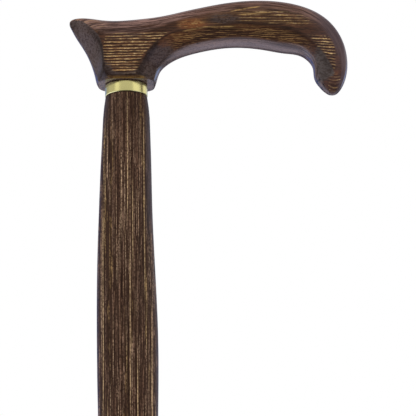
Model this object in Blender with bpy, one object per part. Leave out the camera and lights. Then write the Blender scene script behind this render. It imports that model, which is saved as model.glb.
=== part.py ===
"""A derby walking cane: carved wooden handle, brass collar, turned wooden shaft, rubber ferrule.

Metres, +Z up. The origin is the middle of the ferrule's flat bottom, on the shaft's axis, and the
handle's grip points along +X. The handle is the same on both sides of the XZ plane.
"""

import math

import bmesh
import bpy
import numpy as np

# Clearance between two pieces that touch
GAP = 0.0003

# Shaft, from its lower tip up to the shoulder under the collar
SHAFT_LENGTH = 0.850
SHAFT_TIP_DIAMETER = 0.0190
SHAFT_SWELL_DIAMETER = 0.0306
SWELL_DROP = 0.134
BOW = 0.0007
BOW_REACH = 0.140
TIP_CHAMFER = 0.0012

# Brass collar round the shaft's tenon, standing a little proud of the shaft
COLLAR_DIAMETER = 0.0214
COLLAR_HEIGHT = 0.0058
COLLAR_WALL = 0.0014
COLLAR_PROUD = 0.0002
COLLAR_EDGE = 0.0004

# Steel stud that joins the handle to the shaft
STUD_DIAMETER = 0.0080
STUD_IN_HANDLE = 0.0220
STUD_IN_SHAFT = 0.0450
STUD_CHAMFER = 0.0010

# Rubber ferrule on the shaft's tip, and the steel disc in its socket
FERRULE_HEIGHT = 0.0450
FERRULE_FLOOR = 0.0120
FERRULE_WALL = 0.0033
FERRULE_TAPER = 0.0007
FERRULE_BASE_DIAMETER = 0.0345
FERRULE_BASE_HEIGHT = 0.0100
FERRULE_ROUNDING = 0.0012
BEAD_HEIGHT = 0.0050
BEAD_PROUD = 0.0011
MOUTH_CHAMFER = 0.0004
TREAD_DEPTH = 0.0016
TREAD_GROOVE = 0.0016
TREAD_LAND = 0.0020
TREAD_CENTRE_RADIUS = 0.0050
TREAD_RINGS = 2
WASHER_THICKNESS = 0.0012

# Handle, measured from the shaft's axis: to the beak's tip, the neck's faces and the nose
BEAK_REACH = 0.0286
NECK_BACK = 0.0152
NECK_FRONT = 0.0157
NOSE_REACH = 0.1118

# Handle, measured up from its seat: the saddle above the neck, and what rises or drops from it
SADDLE_HEIGHT = 0.0331
BEAK_RISE = 0.0021
BEAK_TIP_DROP = 0.0023
CROWN_RISE = 0.0101
GRIP_DEPTH = 0.0221
NOSE_DROP = 0.0061

# Handle, measured across
NECK_THICKNESS = 0.0264
GRIP_THICKNESS = 0.0262
UNDERSIDE_WIDTH = 0.0176
SEAT_MARGIN = 0.0013

# The handle's carving: rounded corners, the bevel round the seat and the blunt ends
SHOULDER_DEPTH = 0.0080
RIDGE_ROUNDING = 0.0022
EDGE_ROUNDING = 0.0009
SEAT_BEVEL = 0.0016
SEAT_CUT = 0.0004
UNDERSIDE_BULGE = 0.0010
BEAK_BLUNTNESS = 0.0030
NOSE_BLUNTNESS = 0.0100

# Steps that the curved forms are drawn in
TURNED_SIDES = 48
FERRULE_SIDES = 40
WASHER_SIDES = 32
STUD_SIDES = 24
TAPER_RINGS = 10
FLARE_RINGS = 16
BEAD_STEPS = 8
RUNG_STEPS = 2
CROWN_STEPS = 7
CORNER_STEPS = 3
FLAT_STEPS = 2
UNDERSIDE_STEPS = 3
SHARP_ANGLE = math.radians(40)

# Diameters and radii that one piece takes from another
TENON_RADIUS = 0.5 * COLLAR_DIAMETER - COLLAR_WALL - GAP
SHAFT_TOP_RADIUS = 0.5 * COLLAR_DIAMETER - COLLAR_PROUD
BORE_RADIUS = 0.5 * STUD_DIAMETER + GAP
SEAT_WIDTH = COLLAR_DIAMETER + 2 * SEAT_MARGIN

# Heights that the pieces stack up to
WASHER_Z = FERRULE_FLOOR + GAP
TIP_Z = WASHER_Z + WASHER_THICKNESS + GAP
SHOULDER_Z = TIP_Z + SHAFT_LENGTH
COLLAR_Z = SHOULDER_Z + GAP
SEAT_Z = COLLAR_Z + COLLAR_HEIGHT + GAP

# Heights above the seat
BEAK_HEIGHT = SADDLE_HEIGHT + BEAK_RISE
BEAK_TIP_HEIGHT = BEAK_HEIGHT - BEAK_TIP_DROP
CROWN_HEIGHT = SADDLE_HEIGHT + CROWN_RISE
ARCH_HEIGHT = CROWN_HEIGHT - GRIP_DEPTH

# The handle is lofted over rungs. Each rung runs from the top line over the ridge to the keel, which
# goes from the beak's tip down the neck's back, across the seat and along the grip to the nose's tip.
LAST_RUNG = 28
SEAT_LAST_RUNG = 14
NOSE_TIP_SHARE = 0.918


def clear_scene():
    for item in list(bpy.data.objects):
        bpy.data.objects.remove(item, do_unlink=True)


def make_material(name, colour, roughness, metallic=0.0):
    material = bpy.data.materials.new(name)
    material.use_nodes = True
    shader = material.node_tree.nodes["Principled BSDF"]
    shader.inputs["Base Color"].default_value = (*colour, 1.0)
    shader.inputs["Roughness"].default_value = roughness
    shader.inputs["Metallic"].default_value = metallic
    material.diffuse_color = (*colour, 1.0)
    return material


def add_object(name, mesh_data, material):
    mesh = bpy.data.meshes.new(name)
    mesh_data.to_mesh(mesh)
    mesh_data.free()
    mesh.materials.append(material)
    mesh.shade_smooth()
    mesh.set_sharp_from_angle(angle=SHARP_ANGLE)
    piece = bpy.data.objects.new(name, mesh)
    bpy.context.scene.collection.objects.link(piece)
    return piece


def turn(profile, sides=TURNED_SIDES):
    """Turn a closed profile of (radius, height) points about the Z axis."""
    data = bmesh.new()
    points = [data.verts.new((radius, 0.0, height)) for radius, height in profile]
    edges = [data.edges.new((a, b)) for a, b in zip(points, points[1:])]
    if profile[0][0] > 0 or profile[-1][0] > 0:
        edges.append(data.edges.new((points[-1], points[0])))
    bmesh.ops.spin(
        data, geom=points + edges, cent=(0, 0, 0), axis=(0, 0, 1), angle=math.tau, steps=sides,
        use_merge=True,
    )
    bmesh.ops.remove_doubles(data, verts=data.verts, dist=1e-6)
    bmesh.ops.recalc_face_normals(data, faces=data.faces)
    return data


def smooth_line(points, start=None, end=None):
    """A smooth curve through points of (position, values), with a given slope at an end, or none."""
    knots = np.array([p[0] for p in points], float)
    values = np.array([p[1:] for p in points], float)
    step = np.diff(knots)
    rise = np.diff(values, axis=0) / step[:, None]
    count = len(knots)
    matrix = np.zeros((count, count))
    right = np.zeros_like(values)
    for i in range(1, count - 1):
        matrix[i, i - 1 : i + 2] = step[i - 1], 2 * (step[i - 1] + step[i]), step[i]
        right[i] = 6 * (rise[i] - rise[i - 1])
    matrix[0, 0] = matrix[-1, -1] = 1.0
    if start is not None:
        matrix[0, :2] = 2 * step[0], step[0]
        right[0] = 6 * (rise[0] - np.array(start, float))
    if end is not None:
        matrix[-1, -2:] = step[-1], 2 * step[-1]
        right[-1] = 6 * (np.array(end, float) - rise[-1])
    bend = np.linalg.solve(matrix, right)

    def at(position):
        i = int(np.clip(np.searchsorted(knots, position) - 1, 0, count - 2))
        h, a, b = step[i], knots[i + 1] - position, position - knots[i]
        return (
            (bend[i] * a**3 + bend[i + 1] * b**3) / (6 * h)
            + (values[i] / h - bend[i] * h / 6) * a
            + (values[i + 1] / h - bend[i + 1] * h / 6) * b
        )

    return at


def back(share):
    """An X behind the neck: 0 at the neck's back, 1 at the beak's tip."""
    return -(NECK_BACK + share * (BEAK_REACH - NECK_BACK))


def front(share):
    """An X before the neck: 0 at the neck's front, 1 at the nose's front."""
    return NECK_FRONT + share * (NOSE_REACH - NECK_FRONT)


def on_top(share):
    """A height on the top line: 0 at the saddle, 1 at the crown."""
    return SADDLE_HEIGHT + share * CROWN_RISE


def on_beak(share):
    """A height on the beak's top: 0 at the saddle, 1 at the beak's highest point."""
    return SADDLE_HEIGHT + share * BEAK_RISE


def in_grip(share):
    """A height inside the grip: 0 at the arch under it, 1 at the crown."""
    return ARCH_HEIGHT + share * GRIP_DEPTH


def top_line():
    points = (
        (0, back(1.000), BEAK_TIP_HEIGHT),
        (1, back(0.896), on_beak(0.76)),
        (2, back(0.664), on_beak(1.00)),
        (4, back(0.200), on_beak(0.72)),
        (6, -0.82 * NECK_BACK, on_beak(0.32)),
        (8, -0.47 * NECK_BACK, on_beak(0.00)),
        (10, 0.02 * NECK_FRONT, on_top(0.01)),
        (12, 0.57 * NECK_FRONT, on_top(0.085)),
        (14, front(0.018), on_top(0.190)),
        (16, front(0.158), on_top(0.465)),
        (18, front(0.351), on_top(0.855)),
        (20, front(0.560), CROWN_HEIGHT),
        (22, front(0.751), 0.938 * CROWN_HEIGHT),
        (24, front(0.909), 0.741 * CROWN_HEIGHT),
        (26, front(0.997), 0.338 * CROWN_HEIGHT),
        (27, front(0.989), 0.056 * CROWN_HEIGHT),
        (28, front(NOSE_TIP_SHARE), -NOSE_DROP),
    )
    return smooth_line(points, start=(0, BEAK_BLUNTNESS), end=(-0.85 * NOSE_BLUNTNESS, 0))


def keel_line():
    points = (
        (0, back(1.000), BEAK_TIP_HEIGHT),
        (1, back(0.940), 0.921 * BEAK_TIP_HEIGHT),
        (2, back(0.784), 0.796 * BEAK_TIP_HEIGHT),
        (4, back(0.385), 0.523 * BEAK_TIP_HEIGHT),
        (6, back(0.095), 0.223 * BEAK_TIP_HEIGHT),
        (7, back(0.022), 0.099 * BEAK_TIP_HEIGHT),
        (8, -0.91 * NECK_BACK, 0.0),
        (9, -0.55 * NECK_BACK, -SEAT_CUT),
        (10, 0.0, -SEAT_CUT),
        (11, 0.55 * NECK_FRONT, -SEAT_CUT),
        (12, 0.88 * NECK_FRONT, 0.0),
        (13, front(0.000), 0.166 * ARCH_HEIGHT),
        (14, front(0.015), 0.355 * ARCH_HEIGHT),
        (15, front(0.048), 0.540 * ARCH_HEIGHT),
        (16, front(0.115), 0.735 * ARCH_HEIGHT),
        (17, front(0.213), 0.879 * ARCH_HEIGHT),
        (18, front(0.328), 0.976 * ARCH_HEIGHT),
        (19, front(0.442), 0.999 * ARCH_HEIGHT),
        (20, front(0.557), 0.943 * ARCH_HEIGHT),
        (21, front(0.661), 0.852 * ARCH_HEIGHT),
        (22, front(0.744), 0.780 * ARCH_HEIGHT),
        (23, front(0.798), 0.578 * ARCH_HEIGHT),
        (24, front(0.819), 0.360 * ARCH_HEIGHT),
        (25, front(0.824), 0.137 * ARCH_HEIGHT),
        (26, front(0.846), -0.156 * NOSE_DROP),
        (27, front(0.879), -0.700 * NOSE_DROP),
        (28, front(NOSE_TIP_SHARE), -NOSE_DROP),
    )
    return smooth_line(points, start=(0, -BEAK_BLUNTNESS), end=(0.35 * NOSE_BLUNTNESS, 0))


def ridge_line():
    neck = 0.5 * NECK_THICKNESS
    grip = 0.5 * GRIP_THICKNESS
    points = (
        (0, back(1.00), 0.0, BEAK_TIP_HEIGHT),
        (1, back(0.86), 0.20 * neck, 1.006 * BEAK_TIP_HEIGHT),
        (2, back(0.64), 0.39 * neck, 0.960 * BEAK_TIP_HEIGHT),
        (4, back(0.18), 0.76 * neck, 0.773 * BEAK_TIP_HEIGHT),
        (5, -0.96 * NECK_BACK, 0.91 * neck, 0.650 * BEAK_TIP_HEIGHT),
        (6, -0.81 * NECK_BACK, 0.985 * neck, 0.497 * BEAK_TIP_HEIGHT),
        (7, -0.76 * NECK_BACK, neck, 0.294 * BEAK_TIP_HEIGHT),
        (8, -0.70 * NECK_BACK, neck, 2.1 * SEAT_BEVEL),
        (9, -0.42 * NECK_BACK, neck, 1.1 * SEAT_BEVEL),
        (10, -0.04 * NECK_BACK, neck, SEAT_BEVEL),
        (11, 0.29 * NECK_FRONT, neck, 1.6 * SEAT_BEVEL),
        (12, 0.47 * NECK_FRONT, neck, 0.283 * ARCH_HEIGHT),
        (13, 0.60 * NECK_FRONT, neck, 0.493 * ARCH_HEIGHT),
        (14, 0.80 * NECK_FRONT, neck, 0.712 * ARCH_HEIGHT),
        (15, front(0.020), neck, 0.922 * ARCH_HEIGHT),
        (16, front(0.104), neck, in_grip(0.10)),
        (17, front(0.214), grip, in_grip(0.15)),
        (18, front(0.329), grip, in_grip(0.22)),
        (19, front(0.443), grip, in_grip(0.28)),
        (20, front(0.553), 0.99 * grip, in_grip(0.24)),
        (21, front(0.661), 0.97 * grip, in_grip(0.17)),
        (22, front(0.754), 0.92 * grip, in_grip(0.03)),
        (23, front(0.823), 0.87 * grip, 0.825 * ARCH_HEIGHT),
        (24, front(0.867), 0.80 * grip, 0.597 * ARCH_HEIGHT),
        (25, front(0.896), 0.72 * grip, 0.367 * ARCH_HEIGHT),
        (26, front(0.919), 0.65 * grip, 0.156 * ARCH_HEIGHT),
        (27, front(0.929), 0.50 * grip, -0.28 * NOSE_DROP),
        (28, front(NOSE_TIP_SHARE), 0.0, -NOSE_DROP),
    )
    return smooth_line(points, start=(0, BEAK_BLUNTNESS, 0), end=(0, -1.1 * NOSE_BLUNTNESS, 0))


def half_widths():
    """Half the crown's width, half the underside's width, and the underside's bulge."""
    crown = 0.5 * NECK_THICKNESS
    grip = 0.5 * GRIP_THICKNESS
    under = 0.5 * UNDERSIDE_WIDTH
    seat = 0.5 * SEAT_WIDTH
    bulge = UNDERSIDE_BULGE
    points = (
        (0, 0.0, 0.0, 0.0),
        (1, 0.17 * crown, 0.14 * under, 0.2 * bulge),
        (2, 0.31 * crown, 0.19 * under, 0.3 * bulge),
        (4, 0.58 * crown, 0.25 * under, 0.5 * bulge),
        (6, 0.77 * crown, 0.39 * under, 0.7 * bulge),
        (7, 0.85 * crown, 0.55 * under, 0.8 * bulge),
        (8, 0.89 * crown, 0.51 * seat, 0.2 * bulge),
        (9, 0.91 * crown, 0.93 * seat, 0.0),
        (10, 0.92 * crown, seat, 0.0),
        (11, 0.92 * crown, 0.97 * seat, 0.0),
        (12, 0.92 * crown, 0.68 * seat, 0.2 * bulge),
        (13, 0.92 * crown, 0.84 * under, bulge),
        (14, 0.91 * crown, 0.84 * under, 1.1 * bulge),
        (16, 0.89 * crown, 0.97 * under, bulge),
        (18, 0.84 * grip, under, bulge),
        (20, 0.81 * grip, 1.04 * under, bulge),
        (22, 0.78 * grip, 1.02 * under, 1.2 * bulge),
        (24, 0.72 * grip, 0.85 * under, 1.8 * bulge),
        (25, 0.67 * grip, 0.75 * under, 1.8 * bulge),
        (26, 0.62 * grip, 0.66 * under, 1.4 * bulge),
        (27, 0.49 * grip, 0.50 * under, 0.8 * bulge),
        (28, 0.0, 0.0, 0.0),
    )
    start = (0.80 * BEAK_BLUNTNESS, 0.47 * BEAK_BLUNTNESS, 0)
    end = (-NOSE_BLUNTNESS, -0.75 * NOSE_BLUNTNESS, 0)
    return smooth_line(points, start=start, end=end)


def bend_round(a, b, c, steps):
    """Points on the curve that leaves a towards b and reaches c from b, without c itself."""
    shares = [i / steps for i in range(steps)]
    return [a * (1 - s) ** 2 + b * 2 * s * (1 - s) + c * s**2 for s in shares]


def run(start, end, steps):
    """Points on the straight line from start to end, without end itself."""
    return [start + (end - start) * i / steps for i in range(steps)]


def toward(corner, other, distance):
    """The point at a distance from a corner towards another point, at most halfway."""
    reach = other - corner
    length = np.linalg.norm(reach)
    if length == 0:
        return corner
    return corner + reach * min(distance / length, 0.45)


def handle_section(top, crown, ridge, edge, keel):
    """Half of one section, from the top line over the crown, the ridge and the edge to the keel."""
    middle = np.array((keel[0], 0.5 * edge[1], keel[2]))
    shoulder = toward(crown, ridge, SHOULDER_DEPTH)
    above_ridge = toward(ridge, crown, RIDGE_ROUNDING)
    below_ridge = toward(ridge, edge, RIDGE_ROUNDING)
    above_edge = toward(edge, ridge, EDGE_ROUNDING)
    below_edge = toward(edge, middle, EDGE_ROUNDING)
    return (
        bend_round(top, crown, shoulder, CROWN_STEPS)
        + run(shoulder, above_ridge, FLAT_STEPS)
        + bend_round(above_ridge, ridge, below_ridge, CORNER_STEPS)
        + run(below_ridge, above_edge, FLAT_STEPS)
        + bend_round(above_edge, edge, below_edge, CORNER_STEPS)
        + bend_round(below_edge, middle, keel, UNDERSIDE_STEPS)
        + [keel]
    )


def handle_sections():
    top_at = top_line()
    keel_at = keel_line()
    ridge_at = ridge_line()
    widths_at = half_widths()
    for i in range(1, LAST_RUNG * RUNG_STEPS):
        rung = i / RUNG_STEPS
        top_x, top_z = top_at(rung)
        keel_x, keel_z = keel_at(rung)
        crown_half, under_half, bulge = widths_at(rung)
        along = keel_at(rung + 0.01) - keel_at(rung - 0.01)
        along = along / np.linalg.norm(along)
        top = np.array((top_x, 0.0, top_z))
        crown = np.array((top_x, -crown_half, top_z))
        ridge = ridge_at(rung) * np.array((1, -1, 1))
        keel = np.array((keel_x, 0.0, keel_z))
        edge = keel + np.array((-along[1] * bulge, -under_half, along[0] * bulge))
        section = np.array(handle_section(top, crown, ridge, edge, keel))
        if rung < SEAT_LAST_RUNG:
            section[:, 2] = np.maximum(section[:, 2], 0.0)
        yield section


def carve_handle():
    """The handle's outer form, with its seat at Z = 0."""
    data = bmesh.new()
    rings = []
    for half in handle_sections():
        other_half = half[-2:0:-1] * np.array((1, -1, 1))
        rings.append([data.verts.new(p) for p in np.vstack((half, other_half))])
    beak = data.verts.new((back(1.0), 0.0, BEAK_TIP_HEIGHT))
    nose = data.verts.new((front(NOSE_TIP_SHARE), 0.0, -NOSE_DROP))
    count = len(rings[0])
    for first, second in zip(rings, rings[1:]):
        for i in range(count):
            j = (i + 1) % count
            data.faces.new((first[i], first[j], second[j], second[i]))
    for i in range(count):
        j = (i + 1) % count
        data.faces.new((beak, rings[0][j], rings[0][i]))
        data.faces.new((nose, rings[-1][i], rings[-1][j]))
    bmesh.ops.recalc_face_normals(data, faces=data.faces)
    return data


def bore_cutter(name, bottom, top):
    """A rod that cuts the stud's bore, starting below the face that it enters."""
    start = bottom - 0.5 * STUD_DIAMETER
    data = turn(((0.0, start), (BORE_RADIUS, start), (BORE_RADIUS, top), (0.0, top)))
    cutter = add_object(name, data, make_material(name, (0.5, 0.5, 0.5), 0.5))
    cutter.hide_render = True
    cutter.display_type = "WIRE"
    return cutter


def cut(piece, cutter):
    hole = piece.modifiers.new("bore", "BOOLEAN")
    hole.operation = "DIFFERENCE"
    hole.solver = "EXACT"
    hole.object = cutter


def make_handle(wood):
    data = carve_handle()
    bmesh.ops.translate(data, verts=data.verts, vec=(0, 0, SEAT_Z))
    piece = add_object("handle", data, wood)
    cut(piece, bore_cutter("handle_bore", SEAT_Z, SEAT_Z + STUD_IN_HANDLE + GAP))
    return piece


def make_collar(brass):
    inner = TENON_RADIUS + GAP
    outer = 0.5 * COLLAR_DIAMETER
    top = COLLAR_Z + COLLAR_HEIGHT
    data = turn((
        (inner, COLLAR_Z),
        (outer - COLLAR_EDGE, COLLAR_Z),
        (outer, COLLAR_Z + COLLAR_EDGE),
        (outer, top - COLLAR_EDGE),
        (outer - COLLAR_EDGE, top),
        (inner, top),
    ))
    return add_object("collar", data, brass)


def shaft_radius():
    """The shaft's radius over the height above its tip: a long taper, a swell and a narrow top."""
    tip = 0.5 * SHAFT_TIP_DIAMETER
    swell = 0.5 * SHAFT_SWELL_DIAMETER
    below = SHAFT_LENGTH - SWELL_DROP
    taper = ((0.00, 0.00), (0.23, 0.12), (0.50, 0.32), (0.70, 0.53), (0.86, 0.75), (0.95, 0.92))
    flare = ((0.00, 1.00), (0.20, 0.935), (0.38, 0.785), (0.57, 0.595), (0.75, 0.447), (0.875, 0.312),
             (0.94, 0.22), (1.00, 0.00))
    points = [(share * below, tip + size * (swell - tip)) for share, size in taper]
    for share, size in flare:
        points.append((below + share * SWELL_DROP, SHAFT_TOP_RADIUS + size * (swell - SHAFT_TOP_RADIUS)))
    return smooth_line(points)


def make_shaft(wood):
    radius_at = shaft_radius()
    mouth = FERRULE_HEIGHT - TIP_Z + GAP
    tip = 0.5 * SHAFT_TIP_DIAMETER
    tenon_top = SEAT_Z - GAP
    bore_bottom = SEAT_Z - STUD_IN_SHAFT - GAP
    profile = [(0.0, TIP_Z), (tip - TIP_CHAMFER, TIP_Z), (tip, TIP_Z + TIP_CHAMFER)]
    profile.append((tip, TIP_Z + mouth - GAP))
    swell = SHAFT_LENGTH - SWELL_DROP
    heights = run(mouth, swell, TAPER_RINGS) + run(swell, SHAFT_LENGTH, FLARE_RINGS) + [SHAFT_LENGTH]
    for height in heights:
        profile.append((float(radius_at(height)[0]), TIP_Z + height))
    profile += [(TENON_RADIUS, SHOULDER_Z), (TENON_RADIUS, tenon_top), (BORE_RADIUS, tenon_top)]
    profile += [(BORE_RADIUS, bore_bottom), (0.0, bore_bottom)]
    data = turn(profile)
    for vertex in data.verts:
        drop = (SHOULDER_Z - vertex.co.z) / BOW_REACH
        if 0 < drop < 1 and math.hypot(vertex.co.x, vertex.co.y) > TENON_RADIUS:
            vertex.co.x -= BOW * math.sin(math.pi * drop) ** 2
    return add_object("shaft", data, wood)


def make_stud(steel):
    radius = 0.5 * STUD_DIAMETER
    bottom = SEAT_Z - STUD_IN_SHAFT
    top = SEAT_Z + STUD_IN_HANDLE
    profile = (
        (0.0, bottom),
        (radius - STUD_CHAMFER, bottom),
        (radius, bottom + STUD_CHAMFER),
        (radius, top - STUD_CHAMFER),
        (radius - STUD_CHAMFER, top),
        (0.0, top),
    )
    return add_object("joining_stud", turn(profile, STUD_SIDES), steel)


def tread_profile():
    """The ferrule's ringed tread, from the axis outwards to the last ring's inner edge."""
    radius = TREAD_CENTRE_RADIUS
    points = [(0.0, 0.0), (radius, 0.0)]
    for _ in range(TREAD_RINGS):
        points += [(radius, TREAD_DEPTH), (radius + TREAD_GROOVE, TREAD_DEPTH), (radius + TREAD_GROOVE, 0.0)]
        radius += TREAD_GROOVE + TREAD_LAND
        points.append((radius, 0.0))
    return points[:-1]


def bead_profile(radius, bottom):
    """The rounded bead round the ferrule's mouth."""
    angles = [math.pi * i / BEAD_STEPS for i in range(BEAD_STEPS)]
    return [
        (radius + BEAD_PROUD * math.sin(a), bottom + 0.5 * BEAD_HEIGHT * (1 - math.cos(a))) for a in angles
    ]


def make_ferrule(rubber):
    socket = 0.5 * SHAFT_TIP_DIAMETER + GAP
    top = socket + FERRULE_WALL
    waist = top + FERRULE_TAPER
    base = 0.5 * FERRULE_BASE_DIAMETER
    edge = FERRULE_ROUNDING
    profile = tread_profile()
    profile += [(base - edge, 0.0), (base - 0.3 * edge, 0.3 * edge), (base, edge)]
    profile += [
        (base, 0.45 * FERRULE_BASE_HEIGHT),
        (base - 0.25 * (base - waist), 0.62 * FERRULE_BASE_HEIGHT),
        (base - 0.70 * (base - waist), 0.82 * FERRULE_BASE_HEIGHT),
        (waist, FERRULE_BASE_HEIGHT),
    ]
    profile += bead_profile(top, FERRULE_HEIGHT - BEAD_HEIGHT)
    profile += [(top - MOUTH_CHAMFER, FERRULE_HEIGHT), (socket, FERRULE_HEIGHT)]
    profile += [(socket, FERRULE_FLOOR), (0.0, FERRULE_FLOOR)]
    return add_object("ferrule", turn(profile, FERRULE_SIDES), rubber)


def make_washer(steel):
    radius = 0.5 * SHAFT_TIP_DIAMETER
    top = WASHER_Z + WASHER_THICKNESS
    profile = ((0.0, WASHER_Z), (radius, WASHER_Z), (radius, top), (0.0, top))
    return add_object("ferrule_washer", turn(profile, WASHER_SIDES), steel)


def main():
    clear_scene()
    handle_wood = make_material("handle_wood", (0.10, 0.055, 0.035), 0.35)
    shaft_wood = make_material("shaft_wood", (0.085, 0.045, 0.030), 0.35)
    brass = make_material("brass", (0.62, 0.55, 0.25), 0.25, 1.0)
    steel = make_material("steel", (0.55, 0.55, 0.56), 0.35, 1.0)
    rubber = make_material("rubber", (0.02, 0.02, 0.02), 0.75)
    make_handle(handle_wood)
    make_collar(brass)
    make_shaft(shaft_wood)
    make_stud(steel)
    make_ferrule(rubber)
    make_washer(steel)


main()
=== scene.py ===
"""The looks of a derby walking cane: varnished wood, polished brass and black rubber.

Metres, +Z up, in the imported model's frame: the origin is the middle of the ferrule's flat bottom, and
the handle's grip points along +X.
"""

import math

import bmesh
import bpy
import numpy as np
from mathutils import Matrix, Vector


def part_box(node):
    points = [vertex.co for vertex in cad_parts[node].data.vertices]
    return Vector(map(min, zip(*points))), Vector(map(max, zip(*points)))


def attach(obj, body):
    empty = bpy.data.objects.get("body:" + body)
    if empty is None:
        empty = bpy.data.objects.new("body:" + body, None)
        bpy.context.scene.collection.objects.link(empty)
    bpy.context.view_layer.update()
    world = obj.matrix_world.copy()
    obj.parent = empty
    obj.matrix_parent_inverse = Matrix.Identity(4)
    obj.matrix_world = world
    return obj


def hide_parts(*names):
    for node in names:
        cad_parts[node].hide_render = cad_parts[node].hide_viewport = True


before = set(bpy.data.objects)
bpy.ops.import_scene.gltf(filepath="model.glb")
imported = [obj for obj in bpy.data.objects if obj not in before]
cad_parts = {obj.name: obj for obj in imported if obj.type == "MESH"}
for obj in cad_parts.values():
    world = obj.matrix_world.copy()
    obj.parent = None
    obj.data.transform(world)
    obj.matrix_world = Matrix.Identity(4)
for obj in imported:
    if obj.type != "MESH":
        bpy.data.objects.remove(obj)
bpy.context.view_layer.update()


def colour(red, green, blue):
    """A colour as a screen shows it, 0 to 255, in the linear values that shaders take."""
    def linear(value):
        share = value / 255
        return share / 12.92 if share <= 0.04045 else ((share + 0.055) / 1.055) ** 2.4

    return (linear(red), linear(green), linear(blue), 1.0)


# Sizes that the frame gives, and the gap between pieces that touch
HANDLE_LOW, HANDLE_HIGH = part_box("handle")
COLLAR_LOW, COLLAR_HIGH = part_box("collar")
FERRULE_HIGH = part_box("ferrule")[1]
GAP = 0.0003
SEAT_Z = COLLAR_HIGH.z + GAP
SHOULDER_Z = COLLAR_LOW.z - GAP
TIP_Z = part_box("shaft")[0].z
COLLAR_RADIUS = COLLAR_HIGH.x

# Handle, measured from the shaft's axis: to the beak's tip, the neck's faces and the nose
BEAK_REACH = 0.0286
NECK_BACK = 0.0152
NECK_FRONT = 0.0157
NOSE_REACH = 0.1118

# Handle, measured up from its seat: the saddle above the neck, and what rises or drops from it
SADDLE_HEIGHT = 0.0331
BEAK_RISE = 0.0021
BEAK_TIP_DROP = 0.0023
CROWN_RISE = 0.0101
GRIP_DEPTH = 0.0221
NOSE_DROP = 0.0061

# Handle, measured across
NECK_THICKNESS = 0.0264
GRIP_THICKNESS = 0.0262
UNDERSIDE_WIDTH = 0.0176
SEAT_WIDTH = 0.0240

# The handle's carving: rounded corners, the bevel round the seat and the blunt ends
SHOULDER_DEPTH = 0.0080
RIDGE_ROUNDING = 0.0024
EDGE_ROUNDING = 0.0010
SEAT_BEVEL = 0.0016
SEAT_CUT = 0.0004
UNDERSIDE_BULGE = 0.0010
CORNER_LIMIT = 0.45
BEAK_BLUNTNESS = 0.0030
NOSE_BLUNTNESS = 0.0100
LAST_RUNG = 28
SEAT_LAST_RUNG = 14
NOSE_TIP_SHARE = 0.918
BEAK_TIP_HEIGHT = SADDLE_HEIGHT + BEAK_RISE - BEAK_TIP_DROP
CROWN_HEIGHT = SADDLE_HEIGHT + CROWN_RISE
ARCH_HEIGHT = CROWN_HEIGHT - GRIP_DEPTH

# Steps that the curved forms are drawn in, and from what angle, in degrees, an edge is drawn sharp
RUNG_STEPS = 9
CROWN_STEPS = 18
CORNER_STEPS = 8
FLAT_STEPS = 6
UNDERSIDE_STEPS = 8
TURNED_SIDES = 160
SHAFT_RINGS = 150
ROUNDING_STEPS = 6
FLANK_STEPS = 15
BEAD_STEPS = 24
FLOOR_SIDES = 96
SLOPE_STEP = 0.01
SHARP_ANGLE = 40

# Collar, shaft and ferrule. The taper, the flare and the flank are given as shares of the sizes round them
COLLAR_WALL = 0.0014
COLLAR_PROUD = 0.0002
COLLAR_EDGE = 0.0004
SHAFT_TIP_DIAMETER = 0.0190
SHAFT_SWELL_DIAMETER = 0.0306
SWELL_DROP = 0.134
BOW = 0.0007
BOW_REACH = 0.140
TIP_CHAMFER = 0.0012
SHAFT_LENGTH = SHOULDER_Z - TIP_Z
TAPER = ((0.00, 0.00), (0.23, 0.12), (0.50, 0.32), (0.70, 0.53), (0.86, 0.75), (0.95, 0.92))
FLARE = (
    (0.00, 1.00), (0.20, 0.935), (0.38, 0.785), (0.57, 0.595),
    (0.75, 0.447), (0.875, 0.312), (0.94, 0.22), (1.00, 0.00),
)
FERRULE_FLOOR = 0.0120
FERRULE_WALL = 0.0033
FERRULE_TAPER = 0.0007
FERRULE_BASE_DIAMETER = 0.0345
FERRULE_BASE_HEIGHT = 0.0100
FERRULE_ROUNDING = 0.0012
FERRULE_FLANK = ((0, 0.00, 0.45), (1, 0.25, 0.62), (2, 0.70, 0.82), (3, 1.00, 1.00))
BEAD_HEIGHT = 0.0050
BEAD_PROUD = 0.0011
MOUTH_CHAMFER = 0.0004
TREAD_DEPTH = 0.0016
TREAD_GROOVE = 0.0016
TREAD_LAND = 0.0020
TREAD_ROUNDING = 0.0003
TREAD_CENTRE_RADIUS = 0.0050
TREAD_RINGS = 2

# The handle's wood: the spacing of its level layers, how far they stray, and how the nose bends them
LAYER_PERIOD = 0.00152
FINE_PERIOD = 0.00085
LAYER_DRIFT = 0.0024
LAYER_WAVE = 0.0011
NOSE_BEND = 95.0
NOSE_BEND_X = 0.1050
NOSE_BEND_TOP = 0.0050

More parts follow.
